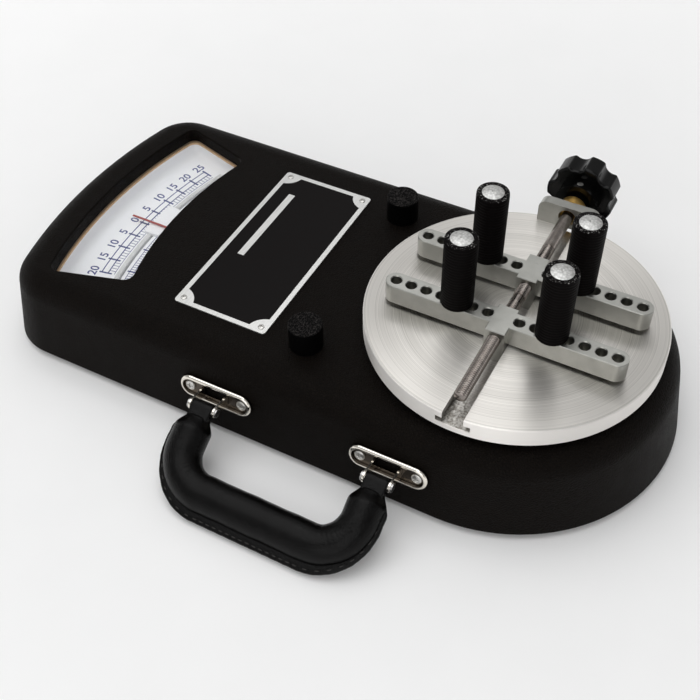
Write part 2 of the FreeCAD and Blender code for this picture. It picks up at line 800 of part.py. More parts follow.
# Upright plate at the back of the disc, held from below, with a brass bush for the leadscrew
def screw_upright():
    top = disc_top + upright_height
    plate = block(upright_width, upright_front, upright_back, disc_top, top)
    corners = [edge for edge in edges_at(plate, top) if edge.BoundBox.XLength < SAME]
    plate = plate.makeFillet(upright_corner, corners)
    hole = rod_y(upright_hole_radius, upright_front - PAST, upright_back + PAST, 0, screw_z)
    bite = disc_top + upright_screw_bite + hole_spare
    return plate.cut([hole] + holes_at(upright_places, upright_screw_radius, disc_top - PAST, bite))


save("screw_upright", screw_upright())
upright_screw_length = disc_top + upright_screw_bite - upright_seat
save("upright_screws", *[screw_up(upright_seat, upright_screw_length, upright_screw_radius,
                                  upright_screw_head_radius, upright_screw_pocket, x, y)
                         for x, y in upright_places])
bush_body = rod_y(bush_radius, upright_back, bush_back, 0, screw_z)
bush_tail = rod_y(upright_hole_radius - screw_fit, upright_back - bush_spigot, upright_back, 0, screw_z)
bush_bore = rod_y(leadscrew_radius + thread_fit, upright_front, bush_back + PAST, 0, screw_z)
save("leadscrew_bush", joined(bush_body, bush_tail).cut(bush_bore))

# Leadscrew with a star knob on its back end
leadscrew_end = hub_front + leadscrew_grip
leadscrew = rod_y(leadscrew_radius, -leadscrew_front, leadscrew_end, 0, screw_z)
front_edge = [edge for edge in leadscrew.Edges if abs(edge.BoundBox.YMax + leadscrew_front) < SAME]
save("leadscrew", leadscrew.makeChamfer(leadscrew_chamfer, front_edge))
set_screw_low = screw_z + leadscrew_radius + screw_fit
set_screw_high = screw_z + knob_hub_radius - set_screw_sink
set_screw_y = hub_front + knob_hub / 2


def star_knob():
    star = rod(knob_radius, 0, knob_thickness)
    cutters = []
    for lobe in range(knob_lobes):
        cutter = rod(scallop_radius, -PAST, knob_thickness + PAST, scallop_centre)
        cutters.append(cutter.rotated(HERE, Z_AXIS, lobe * 360 / knob_lobes))
    star = star.cut(cutters)
    star = star.makeFillet(lobe_round, upright_edges(star))
    star = star.makeFillet(knob_edge_round, edges_at(star, 0) + edges_at(star, knob_thickness))
    star = star.rotated(HERE, X_AXIS, -90).translated(Vector(0, star_front, screw_z))
    hub = rod_y(knob_hub_radius, hub_front, star_front, 0, screw_z)
    nose = rod_y(knob_nose_radius, nose_front, hub_front, 0, screw_z)
    bore = rod_y(leadscrew_radius + screw_fit, nose_front - PAST, leadscrew_end, 0, screw_z)
    pocket = rod(set_screw_radius + screw_fit, screw_z, screw_z + knob_hub_radius + PAST, 0, set_screw_y)
    return joined(star, hub, nose).cut([bore, pocket])


save("star_knob", star_knob())
save("knob_set_screw", rod(set_screw_radius, set_screw_low, set_screw_high, 0, set_screw_y))

# Jaw bars: a drilled bar with a threaded hub, on a tee foot in the slot
bar_length = 2 * holes_each_side * hole_pitch + bar_width
hub_outer_y = -(bar_width / 2 + hub_outer_reach)
hub_inner_y = bar_width / 2 + hub_inner_reach
hub_middle = (hub_outer_y + hub_inner_y) / 2
foot_screw_places = [(0, hub_middle + side * foot_screw_spacing / 2) for side in SIDES]
tee_foot_low = tee_low + guide_fit
tee_foot_top = tee_top - guide_fit
foot_screw_seat = tee_foot_low + foot_screw_head_height


def jaw_bar():
    straight = stadium(bar_length, bar_width, bar_low, bar_top)
    bar = joined(straight, block(hub_width, hub_outer_y, hub_inner_y, bar_low, bar_top))
    bar = bar.makeChamfer(bar_chamfer, edges_at(bar, bar_top))
    cutters = [rod_y(leadscrew_radius + thread_fit, hub_outer_y - PAST, hub_inner_y + PAST, 0, screw_z)]
    bite = bar_low + foot_screw_bite + screw_fit
    cutters += holes_at(foot_screw_places, foot_screw_radius, bar_low - PAST, bite)
    for step in range(1, holes_each_side + 1):
        for side in SIDES:
            x = side * step * hole_pitch
            mouth = Vector(x, 0, bar_top - hole_chamfer)
            cutters.append(rod(hole_radius, bar_low - PAST, bar_top + PAST, x))
            cutters.append(Part.makeCone(hole_radius, hole_radius + hole_chamfer, hole_chamfer, mouth))
    return bar.cut(cutters)


def jaw_foot():
    stem = block(slot_width - 2 * guide_fit, hub_outer_y, hub_inner_y, tee_foot_low, bar_low)
    flange = block(tee_width - 2 * guide_fit, hub_outer_y, hub_inner_y, tee_foot_low, tee_foot_top)
    holes = holes_at(foot_screw_places, foot_screw_radius, tee_foot_low - PAST, bar_low + PAST)
    holes += holes_at(foot_screw_places, foot_screw_head_radius, tee_foot_low - PAST, foot_screw_seat)
    return joined(stem, flange).cut(holes)


def jaw_screw(x, y):
    length = bar_low + foot_screw_bite - foot_screw_seat
    return screw_up(foot_screw_seat, length, foot_screw_radius, foot_screw_head_radius,
                    foot_screw_head_height, x, y)


def placed_jaw(solid, side):
    """Move a jaw piece to the front (-1) or, turned end for end, to the back (1) of the disc."""
    faced = solid if side < 0 else solid.rotated(HERE, Z_AXIS, 180)
    return faced.translated(Vector(0, side * jaw_rest, 0))


for name, side in (("front", -1), ("rear", 1)):
    save(name + "_jaw_bar", placed_jaw(jaw_bar(), side))
    save(name + "_jaw_foot", placed_jaw(jaw_foot(), side))
    save(name + "_jaw_screws", *[placed_jaw(jaw_screw(x, y), side) for x, y in foot_screw_places])

# Posts: a turned rod with a spigot for the bar's hole, and a ribbed sleeve round it
post_top = bar_top + post_height
dome_low = post_top - dome_height
spigot_radius = hole_radius - pin_fit
spigot_low = bar_top - pin_length


def post_rod():
    shank = turned([(0, spigot_low), (spigot_radius, spigot_low), (spigot_radius, bar_top),
                    (rod_radius, bar_top), (rod_radius, dome_low), (0, dome_low)])
    ball_radius = (rod_radius ** 2 + dome_height ** 2) / (2 * dome_height)
    ball = Part.makeSphere(ball_radius, Vector(0, 0, post_top - ball_radius))
    dome = rod(rod_radius, dome_low - PAST, post_top + PAST).common(ball)
    dimple = Part.makeCone(0, dimple_radius * 2, dimple_depth * 2, Vector(0, 0, post_top - dimple_depth))
    return joined(shank, dome).cut(dimple)


def post_sleeve():
    low = bar_top + sleeve_lift
    high = post_top - sleeve_drop
    sleeve = rod(sleeve_radius, low, high)
    sleeve = sleeve.makeFillet(sleeve_round, edges_at(sleeve, high))
    return sleeve.cut(rod(rod_radius + sleeve_fit, low - PAST, high + PAST))


for row, y in (("front", -jaw_rest), ("rear", jaw_rest)):
    for end, x in (("left", -post_x), ("right", post_x)):
        spot = Vector(x, y, 0)
        save(row + "_" + end + "_rod", post_rod().translated(spot))
        save(row + "_" + end + "_sleeve", post_sleeve().translated(spot))


# Handle brackets: a dished plate with two folded ears and a pin between them
def handle_bracket():
    plate = stadium(bracket_length, bracket_width, 0, bracket_rim_height)
    plate = plate.makeFillet(bracket_rim_round, edges_at(plate, bracket_rim_height))
    dish_top = bracket_rim_height + PAST
    dish_length = bracket_length - 2 * bracket_rim
    dish = stadium(dish_length, bracket_width - 2 * bracket_rim, bracket_base, dish_top)
    opening = block(ear_gap, -ear_width / 2, ear_width / 2, -PAST, dish_top)
    holes = holes_at(bracket_screw_places, bracket_screw_radius, -PAST, bracket_base + PAST)
    plate = plate.cut([dish, opening] + holes)
    ears = []
    for side in SIDES:
        start = side * (ear_gap + ear_thickness) / 2 - ear_thickness / 2
        leaf = block(ear_thickness, -ear_width / 2, ear_width / 2, 0, hinge_offset, start + ear_thickness / 2)
        tip = rod_x(ear_width / 2, start, start + ear_thickness, 0, hinge_offset)
        ears.append(joined(leaf, tip))
    pin_hole = rod_x(hinge_radius + screw_fit, -ear_gap, ear_gap, 0, hinge_offset)
    return joined(plate, *ears).cut(pin_hole)


def hinge_pin():
    half = ear_gap / 2 + ear_thickness
    end = half + hinge_head
    shank = rod_x(hinge_radius, -end, end, 0, hinge_offset)
    left_head = rod_x(hinge_head_radius, -end, -half, 0, hinge_offset)
    right_head = rod_x(hinge_head_radius, half, end, 0, hinge_offset)
    return joined(shank, left_head, right_head)


bracket_screw_length = bracket_base + bracket_screw_bite
bracket_screws = [screw_down(bracket_base, bracket_screw_length, bracket_screw_radius,
                             bracket_screw_head_radius, bracket_screw_head_height, x, y)
                  for x, y in bracket_screw_places]
save("left_bracket", on_wall(handle_bracket(), left_x))
save("right_bracket", on_wall(handle_bracket(), right_x))
save("hinge_pins", on_wall(hinge_pin(), left_x), on_wall(hinge_pin(), right_x))
save("bracket_screws", *[on_wall(screw, x) for x in (left_x, right_x) for screw in bracket_screws])


# Handle: leather loops round the pins, and a stitched tube with a flat seam along its outside
def handle_tab(side):
    x = side * bracket_spacing / 2
    loop = rod_x(tab_radius, x - tab_width / 2, x + tab_width / 2, 0, 0)
    strap = block(tab_width, 0, tab_length, -tab_thickness / 2, tab_thickness / 2, x)
    return joined(loop, strap).cut(rod_x(hinge_radius + hinge_fit, x - tab_width, x + tab_width, 0, 0))


def bent_plate(half_span, reach, corner, thickness):
    """A flat plate from the ends of the legs to a reach, with its two far corners rounded."""
    plate = block(2 * half_span, tab_length, reach, -thickness / 2, thickness / 2)
    far = [edge for edge in upright_edges(plate) if edge.CenterOfMass.y > (tab_length + reach) / 2]
    return plate.makeFillet(corner, far)


def handle_grip():
    leg_x = bracket_spacing / 2
    bend_y = grip_reach - grip_corner
    bend_x = leg_x - grip_corner
    pieces = []
    for side in SIDES:
        section = Part.Wire(Part.makeCircle(grip_radius, Vector(side * leg_x, bend_y, 0), Y_AXIS))
        bend = Part.Face(section).revolve(Vector(side * bend_x, bend_y, 0), Z_AXIS, 90 * side)
        pieces += [rod_y(grip_radius, tab_length, bend_y, side * leg_x, 0), bend]
    seam = bent_plate(seam_half_width, seam_reach, seam_corner, seam_thickness)
    pieces.append(seam.cut(bent_plate(leg_x, grip_reach, grip_corner, seam_thickness + PAST)))
    return joined(rod_x(grip_radius, -bend_x, bend_x, grip_reach, 0), *pieces)


save("handle_tabs", on_handle(handle_tab(-1)), on_handle(handle_tab(1)))
save("handle_grip", on_handle(handle_grip()))
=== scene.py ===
import math
import bmesh
import bpy
import numpy as np
from mathutils import Matrix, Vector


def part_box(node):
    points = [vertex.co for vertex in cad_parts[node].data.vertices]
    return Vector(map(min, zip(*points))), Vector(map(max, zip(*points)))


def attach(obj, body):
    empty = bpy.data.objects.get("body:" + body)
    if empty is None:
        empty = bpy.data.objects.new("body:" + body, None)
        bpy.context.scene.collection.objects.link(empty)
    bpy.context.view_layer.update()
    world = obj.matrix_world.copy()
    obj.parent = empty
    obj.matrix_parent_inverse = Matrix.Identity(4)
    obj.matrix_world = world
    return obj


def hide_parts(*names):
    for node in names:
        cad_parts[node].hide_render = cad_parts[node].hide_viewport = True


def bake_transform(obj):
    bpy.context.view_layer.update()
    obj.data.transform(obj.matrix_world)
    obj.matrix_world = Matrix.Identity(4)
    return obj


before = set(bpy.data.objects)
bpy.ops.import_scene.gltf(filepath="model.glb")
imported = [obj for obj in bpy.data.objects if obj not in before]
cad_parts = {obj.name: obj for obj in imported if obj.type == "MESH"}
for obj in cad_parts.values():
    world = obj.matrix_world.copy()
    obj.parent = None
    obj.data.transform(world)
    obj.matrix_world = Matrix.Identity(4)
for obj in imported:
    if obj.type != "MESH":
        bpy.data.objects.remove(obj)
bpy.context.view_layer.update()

# The view: a camera with a fairly long lens, above the front right of the instrument and looking
# down over the turntable towards the dial. Its place is solved from the holes of the jaw bars.
lens = bpy.data.cameras.new("view")
lens.lens = 55.6
lens.sensor_width = 36.0
camera = bpy.data.objects.new("view", lens)
turn, rise, roll = np.radians([29.04, 47.62, -1.41])
right = np.array([math.cos(turn), math.sin(turn), 0.0])
back = np.array([math.sin(turn) * math.cos(rise), -math.cos(turn) * math.cos(rise), math.sin(rise)])
up = np.cross(back, right)
tilted = [math.cos(roll) * right + math.sin(roll) * up, math.cos(roll) * up - math.sin(roll) * right, back]
stand = Matrix(np.array(tilted).T.tolist()).to_4x4()
stand.translation = (0.23834, -0.40417, 0.52733)
camera.matrix_world = stand
bpy.context.scene.collection.objects.link(camera)
bpy.context.scene.camera = camera
bpy.context.scene.view_settings.view_transform = "Standard"


# The studio: a pale matt table top that fades to white in the distance, a surround that is pale round the
# horizon and dimmer above it, one large soft lamp overhead, a weak one behind and one in front.
class Wire:
    """A shader value. Operators between wires and numbers add Math nodes, node() adds any other kind."""

    def __init__(self, tree, socket=None):
        self.tree = tree
        self.socket = socket

    def node(self, kind, settings=(), sockets=(), out=0):
        """Add a node, set its settings, then its sockets' values or links, and give its output or outputs."""
        made = self.tree.nodes.new("ShaderNode" + kind)
        for name, value in dict(settings).items():
            setattr(made, name, value)
        for name, value in dict(sockets).items():
            if isinstance(value, Wire):
                self.tree.links.new(value.socket, made.inputs[name])
            else:
                made.inputs[name].default_value = value
        if isinstance(out, tuple):
            return [Wire(self.tree, made.outputs[name]) for name in out]
        return Wire(self.tree, made.outputs[out])

    def sums(self, operation, first, second=0.0):
        return self.node("Math", {"operation": operation}, {0: first, 1: second})

    def __add__(self, other):
        return self.sums("ADD", self, other)

    def __radd__(self, other):
        return self.sums("ADD", other, self)

    def __sub__(self, other):
        return self.sums("SUBTRACT", self, other)

    def __rsub__(self, other):
        return self.sums("SUBTRACT", other, self)

    def __mul__(self, other):
        return self.sums("MULTIPLY", self, other)

    def __lt__(self, other):
        return self.sums("LESS_THAN", self, other)

    def __gt__(self, other):
        return self.sums("GREATER_THAN", self, other)

    def __abs__(self):
        return self.sums("ABSOLUTE", self)


def tone(red, green, blue):
    """A colour read off a screen, 0 to 255, as the linear values that shaders use."""
    screen = np.array([red, green, blue]) / 255.0
    linear = np.where(screen > 0.04045, ((screen + 0.055) / 1.055) ** 2.4, screen / 12.92)
    return (*linear.tolist(), 1.0)


def finish(name, **values):
    """A new material, its shader node and a wire of Object coordinates. The values stand on the shader."""
    material = bpy.data.materials.new(name)
    material.use_nodes = True
    shader = material.node_tree.nodes["Principled BSDF"]
    for key, value in values.items():
        shader.inputs[key.replace("_", " ")].default_value = value
    place = Wire(material.node_tree).node("TexCoord", out="Object")
    return material, shader, place


def feed(shader, socket, wire):
    """Link a wire to one of the shader's sockets."""
    shader.id_data.links.new(wire.socket, shader.inputs[socket])


def speckle(place, size, detail=2.0):
    """Even noise of about that size in metres, 0 to 1."""
    return place.node("TexNoise", {}, {"Vector": place, "Scale": 1.0 / size, "Detail": detail}, "Fac")


def fade(value, start, end):
    """A smooth step, 0 at start and 1 at end."""
    return value.node("MapRange", {"interpolation_type": "SMOOTHSTEP"},
                      {"Value": value, "From Min": start, "From Max": end})


def between(mask, low, high):
    """Colours mixed by a mask, from low at 0 to high at 1."""
    return mask.node("Mix", {"data_type": "RGBA"}, {0: mask, 6: low, 7: high}, 2)


def length(vector):
    """How long a vector is."""
    return vector.node("VectorMath", {"operation": "LENGTH"}, {0: vector}, "Value")


top_cloth, table_shader, place = finish("table_top", Roughness=0.85, Specular_IOR_Level=0.2,
                                        Emission_Strength=1.0)
feed(table_shader, "Base Color", between(speckle(place, 0.05), tone(246, 246, 246), tone(250, 250, 250)))
seen, mirrored, through = place.node(
    "LightPath", out=("Is Camera Ray", "Is Glossy Ray", "Is Transmission Ray"))
away = fade(length(place), 0.12, 1.5) * (seen + mirrored + through)
feed(table_shader, "Emission Color", between(away, tone(0, 0, 0), tone(188, 188, 188)))
edge = 3.0
corners = [(-edge, -edge, 0), (edge, -edge, 0), (edge, edge, 0), (-edge, edge, 0)]
table_mesh = bpy.data.meshes.new("table")
table_mesh.from_pydata(corners, [], [(0, 1, 2, 3)])
table_mesh.materials.append(top_cloth)
table = bpy.data.objects.new("table", table_mesh)
bpy.context.scene.collection.objects.link(table)

surround = bpy.data.worlds.new("surround")
bpy.context.scene.world = surround
surround.use_nodes = True
sky = Wire(surround.node_tree)
upwards = sky.node("SeparateXYZ", {}, {"Vector": sky.node("TexCoord", out="Generated")}, "Z")
glow = surround.node_tree.nodes["Background"]
glow.inputs["Color"].default_value = (1.0, 1.0, 1.0, 1.0)
horizon_glow, overhead_loss = 0.9, 0.5
strength = horizon_glow - fade(upwards, 0.05, 0.35) * overhead_loss
surround.node_tree.links.new(strength.socket, glow.inputs["Strength"])

middle = np.array([0.02, 0.0, 0.05])


def softbox(name, place, size, watts):
    """A square lamp that faces the middle of the instrument."""
    lamp = bpy.data.lights.new(name, "AREA")
    lamp.size = size
    lamp.energy = watts
    holder = bpy.data.objects.new(name, lamp)
    z = np.array(place) - middle
    z /= np.linalg.norm(z)
    x = np.cross([0, 1, 0], z)
    x /= np.linalg.norm(x)
    holder.matrix_world = Matrix(np.array([x, np.cross(z, x), z]).T.tolist()).to_4x4()
    holder.location = place
    bpy.context.scene.collection.objects.link(holder)


softbox("overhead_light", (-0.3, -0.1, 1.45), 1.6, 11.5)
softbox("back_light", (-0.25, 0.8, 1.4), 0.9, 2.0)
softbox("front_light", (0.4, -1.4, 0.9), 1.2, 5.5)


# The case: one black moulding with a fine pebbled grain, drawn in towards a rounded top edge. The
# grain is soft and shallow. Its tone varies at random, and the valleys of the pebbles are painted darker than
# their tops as painted shade.
def dress(material, *nodes):
    """Give CAD nodes a material."""
    for node in nodes:
        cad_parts[node].data.materials.clear()
        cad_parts[node].data.materials.append(material)


def emboss(shader, height, depth):
    """Feed the shader's normal with a bump of that height, 0 to 1, over that depth in metres."""
    feed(shader, "Normal", height.node("Bump", {}, {"Distance": depth, "Height": height}))


def pebbles(place, size):
    """Leather grain: rounded cells of that size in metres, each with its edge let in."""
    cells = place.node("TexVoronoi", {"feature": "DISTANCE_TO_EDGE"}, {"Vector": place, "Scale": 1.0 / size})
    return fade(cells, 0.0, 0.22)


case_grain, shader, place = finish("case_grain", Roughness=0.55, Specular_IOR_Level=0.055)
patches = speckle(place, 0.012, 3.0)
grain = pebbles(place, 0.0015) * 0.6 + speckle(place, 0.0008) * 0.6
# Painted shade: the valleys of the pebbles get the darker colour, with random tone mixed in.
lighter = fade(patches * 0.4 + grain * 0.6, 0.25, 0.75)
feed(shader, "Base Color", between(lighter, tone(5, 3, 2), tone(15, 11, 8)))
feed(shader, "Roughness", 0.42 + patches * 0.16)
emboss(shader, grain, 0.0004)
dress(case_grain, "case_shell")

# The underside: a black painted steel plate, four rubber feet and plated screws, all screwed up
# into the bosses of the case from below.
base_paint, shader, place = finish("base_paint", Roughness=0.5)
feed(shader, "Base Color", between(speckle(place, 0.004), tone(30, 30, 30), tone(42, 41, 40)))
emboss(shader, speckle(place, 0.0012, 4.0), 0.0001)
dress(base_paint, "base_plate")
foot_rubber, shader, place = finish("foot_rubber", Roughness=0.8)
feed(shader, "Base Color", between(speckle(place, 0.002, 4.0), tone(28, 27, 26), tone(48, 46, 44)))
emboss(shader, speckle(place, 0.0005), 0.00008)
dress(foot_rubber, "feet")
plated, shader, place = finish("plated_screws", Metallic=1.0)
rub = speckle(place, 0.0008, 4.0)
feed(shader, "Base Color", between(rub, tone(176, 174, 170), tone(226, 225, 222)))
feed(shader, "Roughness", 0.22 + rub * 0.2)
dress(plated, "base_screws", "foot_screws", "dial_screws", "housing_screws", "platform_screws", "spindle_nut",
      "needle_rivets", "upright_screws", "knob_set_screw", "front_jaw_screws", "rear_jaw_screws")

# The dial window: a clear pane bedded on a tan cork gasket under the lip of the case, with a white
# enamelled tray behind it. Screws from below clamp pane, gasket and tray together.
pane, shader, place = finish("clear_pane", Base_Color=(1, 1, 1, 1), Roughness=0.04, Alpha=0.03)
feed(shader, "Roughness", 0.03 + speckle(place, 0.02) * 0.05)
pane.surface_render_method = "BLENDED"
dress(pane, "window_pane")
cork, shader, place = finish("cork", Roughness=0.9)
crumbs = speckle(place, 0.0012, 4.0)
feed(shader, "Base Color", between(crumbs, tone(176, 132, 88), tone(232, 200, 158)))
emboss(shader, crumbs, 0.0003)
dress(cork, "window_gasket")
enamel, shader, place = finish("white_enamel", Roughness=0.3)
feed(shader, "Base Color", between(speckle(place, 0.02, 4.0), tone(243, 245, 248), tone(249, 250, 252)))
emboss(shader, speckle(place, 0.003), 0.00004)
dress(enamel, "dial_tray", "zero_bridge")

# The scales: two white cards on the floor of the tray, printed in blue with plain numbers, lines and
# ticks about the platform axis. A slot runs between them, and the main card's edge is rolled into it.
axis_x, axis_y = 110.0, 26.4764
dial_top = 37.5
card, shader, place = finish("scale_card", Roughness=0.42)
feed(shader, "Base Color", between(speckle(place, 0.015, 4.0), tone(245, 247, 251), tone(250, 251, 253)))
emboss(shader, speckle(place, 0.0006), 0.00002)
dress(card, "main_scale", "inner_scale")
ink, shader, place = finish("blue_ink", Roughness=0.5)
feed(shader, "Base Color", between(speckle(place, 0.0007), tone(36, 47, 108), tone(58, 72, 142)))


def grid_mesh(name, points, round_rows=False, round_columns=False):
    """A mesh of quads over a grid of points in millimetres. Either way of the grid can close on itself."""
    rows, columns = points.shape[:2]
    number = np.arange(rows * columns).reshape(rows, columns)
    if round_rows:
        number = np.vstack([number, number[:1]])
    if round_columns:
        number = np.hstack([number, number[:, :1]])
    quads = np.stack([number[:-1, :-1], number[:-1, 1:], number[1:, 1:], number[1:, :-1]], -1).reshape(-1, 4)
    mesh = bpy.data.meshes.new(name)
    mesh.from_pydata((points.reshape(-1, 3) * 0.001).tolist(), [], quads.tolist())
    return mesh


def place_piece(name, mesh, material, body, crease=40.0):
    """Merge a mesh's poles, turn its faces outwards, shade it smooth up to a crease, and let it ride its
    body, when it is given one."""
    shell = bmesh.new()
    shell.from_mesh(mesh)
    bmesh.ops.remove_doubles(shell, verts=shell.verts, dist=1e-7)
    bmesh.ops.dissolve_degenerate(shell, edges=shell.edges, dist=1e-8)
    bmesh.ops.recalc_face_normals(shell, faces=shell.faces)
    shell.to_mesh(mesh)
    shell.free()
    mesh.shade_smooth()
    mesh.set_sharp_from_angle(angle=math.radians(crease))
    mesh.materials.append(material)
    piece = bpy.data.objects.new(name, mesh)
    bpy.context.scene.collection.objects.link(piece)
    if body:
        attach(piece, body)
    return piece


def about_axis(radius, degrees, height):
    """Points about the platform axis, at an angle from the middle of the dial towards the back."""
    angle = np.radians(degrees)
    x = axis_x - radius * np.cos(angle)
    y = axis_y + radius * np.sin(angle)
    return np.stack(np.broadcast_arrays(x, y, height), -1)


ink_depth = 0.05


def tick(reach, angle, width):
    """A strip between two radii, centred on an angle, with a width in degrees."""
    return (*reach, angle - width / 2, angle + width / 2)


def printed(name, strips):
    """Ink strips, each from one radius to another and one angle to another, as thin raised bands."""
    vertices, faces = [], []
    for inner, outer, start, end in strips:
        steps = max(2, int(abs(end - start) * 2) + 1)
        angles = np.linspace(start, end, steps)
        low, high = dial_top, dial_top + ink_depth
        ring = np.stack([about_axis(inner, angles, low), about_axis(inner, angles, high),
                         about_axis(outer, angles, high), about_axis(outer, angles, low)], 1)
        first = sum(len(block) for block in vertices)
        number = first + np.arange(steps * 4).reshape(steps, 4)
        wrapped = np.hstack([number, number[:, :1]])
        quads = np.stack([wrapped[:-1, :-1], wrapped[:-1, 1:], wrapped[1:, 1:], wrapped[1:, :-1]], -1)
        faces += quads.reshape(-1, 4).tolist() + [number[0].tolist(), number[-1].tolist()]
        vertices.append(ring.reshape(-1, 3))
    mesh = bpy.data.meshes.new(name)
    mesh.from_pydata((np.vstack(vertices) * 0.001).tolist(), [], faces)
    place_piece(name, mesh, ink, "case")


step = 2.8
first_tick, last_tick = -4, 5
ends = (first_tick * step, last_tick * step)
wide = math.degrees(1.25 / 270.0)
thin = math.degrees(0.4 / 266.0)
main_arcs = ((272.1, 272.85), (267.6, 268.35), (263.3, 263.65))
long_ticks, short_ticks = (265.3, 274.2), (263.5, 268.0)
main_marks = [(*arc, *ends) for arc in main_arcs]
main_marks += [tick(long_ticks, k * step, wide) for k in range(first_tick, last_tick + 1)]
main_marks += [tick(short_ticks, k * step / 5, thin)
               for k in range(first_tick * 5, last_tick * 5 + 1) if k % 5]
printed("main_marks", main_marks)
inner_arcs = ((254.6, 255.0), (251.5, 251.8))
inner_long, inner_short, inner_ends = (249.8, 256.4), (251.7, 254.8), (-15.0, 15.0)
inner_marks = [(*arc, *inner_ends) for arc in inner_arcs]
inner_marks += [tick(inner_long, k * 5.0, wide) for k in range(-2, 4)]
inner_marks += [tick(inner_short, k * 0.5, thin) for k in range(-29, 30) if k % 10]
printed("inner_marks", inner_marks)

number_size, number_radius = 8.4, 278.2
figures = bmesh.new()
for k in range(first_tick, last_tick + 1):
    words = bpy.data.curves.new("number", "FONT")
    words.body = str(abs(k) * 5)
    words.size = number_size
    words.align_x = "CENTER"
    words.align_y = "CENTER"
    words.extrude = ink_depth / 2
    words.offset = 0.12
    writing = bpy.data.objects.new("number", words)
    bpy.context.scene.collection.objects.link(writing)
    bpy.context.view_layer.update()
    flat = bpy.data.meshes.new_from_object(writing.evaluated_get(bpy.context.evaluated_depsgraph_get()))
    bpy.data.objects.remove(writing)
    spots = np.zeros(len(flat.vertices) * 3)
    flat.vertices.foreach_get("co", spots)
    across, along, deep = spots.reshape(-1, 3).T
    angle = math.radians(k * step)
    outwards = np.array([-math.cos(angle), math.sin(angle), 0.0])
    sideways = np.array([math.sin(angle), math.cos(angle), 0.0])
    centre = about_axis(number_radius, k * step, dial_top + ink_depth / 2)
    spots = centre + np.outer(across, sideways) + np.outer(along, outwards) + np.outer(deep, [0, 0, 1])
    flat.vertices.foreach_set("co", (spots * 0.001).ravel())
    figures.from_mesh(flat)
    bpy.data.meshes.remove(flat)
figures_mesh = bpy.data.meshes.new("main_numbers")
figures.to_mesh(figures_mesh)
figures.free()
place_piece("main_numbers", figures_mesh, ink, "case")


def capped(points):
    """A tube's grid with one more row at each end, drawn in to the middle of the end's ring."""
    count = points.shape[1]
    first, last = [row.mean(1, keepdims=True).repeat(count, 1) for row in (points[:1], points[-1:])]
    return np.concatenate([first, points, last])


roll_steps = np.linspace(-15.2, 15.2, 90)
bend = np.linspace(0, math.pi, 9)
lip_middle, lip_half, lip_rise = 260.5, 1.7, 0.9
lip_radius = np.concatenate([lip_middle + lip_half * np.cos(bend), [lip_middle - lip_half]])
lip_height = np.concatenate([dial_top + lip_rise * np.sin(bend), [dial_top]])
lip = about_axis(lip_radius[None, :], roll_steps[:, None], lip_height[None, :])
# Painted shade: the rolled edge is the same white card, coloured grey where it turns down into the slot.
rolled, shader, place = finish("rolled_edge", Roughness=0.35)
feed(shader, "Base Color", between(speckle(place, 0.004), tone(196, 198, 199), tone(226, 227, 227)))
lip_mesh = grid_mesh("rolled_edge", capped(lip), round_columns=True)
place_piece("rolled_edge", lip_mesh, rolled, "case", 60.0)

# The nameplate: thin bright sheet with a plain black enamelled field, cut back round its four small
# screws. One short strip on the side towards the dial is left bright.
plate_x, plate_y = axis_x - 162.5, axis_y
etched, shader, place = finish("etched_plate", Roughness=0.3, Specular_IOR_Level=0.08)
plate_across, plate_along = place.node("SeparateXYZ", {}, {"Vector": place}, ("X", "Y"))
plate_across = plate_across - plate_x * 0.001
plate_along = plate_along - plate_y * 0.001
across, along = abs(plate_across), abs(plate_along)
half_across, half_along, corner_cut = 0.03225, 0.070, 0.0125
field_across, field_along = 0.0291, 0.0668
strip_across, strip_along, strip_half_width, strip_half_length = -0.0174, 0.0165, 0.0023, 0.033
near_corner = length(across.node("CombineXYZ", {}, {"X": across - half_across, "Y": along - half_along}))
field = (across < field_across) * (along < field_along) * (near_corner > corner_cut)
within_width = abs(plate_across - strip_across) < strip_half_width
within_length = abs(plate_along - strip_along) < strip_half_length
black = field * (1 - within_width * within_length)
brush = speckle(place.node("Mapping", {}, {"Vector": place, "Scale": (1, 0.04, 1)}), 1 / 2500)
bare_sheet = between(brush, tone(212, 212, 210), tone(244, 244, 242))
feed(shader, "Base Color", between(black, bare_sheet, tone(12, 9, 9)))
feed(shader, "Metallic", 0.9 - black * 0.9)
feed(shader, "Roughness", 0.3 + brush * 0.12)
emboss(shader, 1 - black, 0.00004)
dress(etched, "nameplate")


# The small cross-head screws of the nameplate and the brackets: plated pan heads with a recess for
# the driver. Each is a dome on a round edge, sunk where the two arms of the cross run.
def cross_head(centre, out, radius, height):
    """A dome over a disc: a straight brim and half an ellipse on top, less a dip along two crossing arms."""
    sides, brim, arm_half_width, arm_length, cross_depth = 64, 0.45, 0.15, 0.62, 0.55
    out = np.array(out) / np.linalg.norm(out)
    first = np.cross(out, [1.0, 0.0, 0.0]) if abs(out[0]) < 0.9 else np.cross(out, [0.0, 1.0, 0.0])
    first = first / np.linalg.norm(first)
    second = np.cross(out, first)
    share = np.concatenate([np.linspace(0, 0.97, 18), [1.0, 1.0]])[:, None]
    angle = np.linspace(0, 2 * np.pi, sides, endpoint=False)[None, :]
    x, y = share * np.cos(angle), share * np.sin(angle)
    lift = height * (brim + (1 - brim) * np.sqrt(np.clip(1 - share ** 2, 0, 1)))
    from_arms = np.minimum(np.abs(x), np.abs(y))
    dip = np.clip((arm_half_width - from_arms) / 0.05, 0, 1) * np.clip((arm_length - share) / 0.1, 0, 1)
    lift = lift - dip * height * cross_depth
    lift[-1] = 0.0
    points = np.stack([x, y, lift], -1)
    points[..., :2] *= radius
    foot = np.zeros((1, sides, 3))
    points = np.concatenate([points, foot])
    return np.array(centre) + points @ np.array([first, second, out])


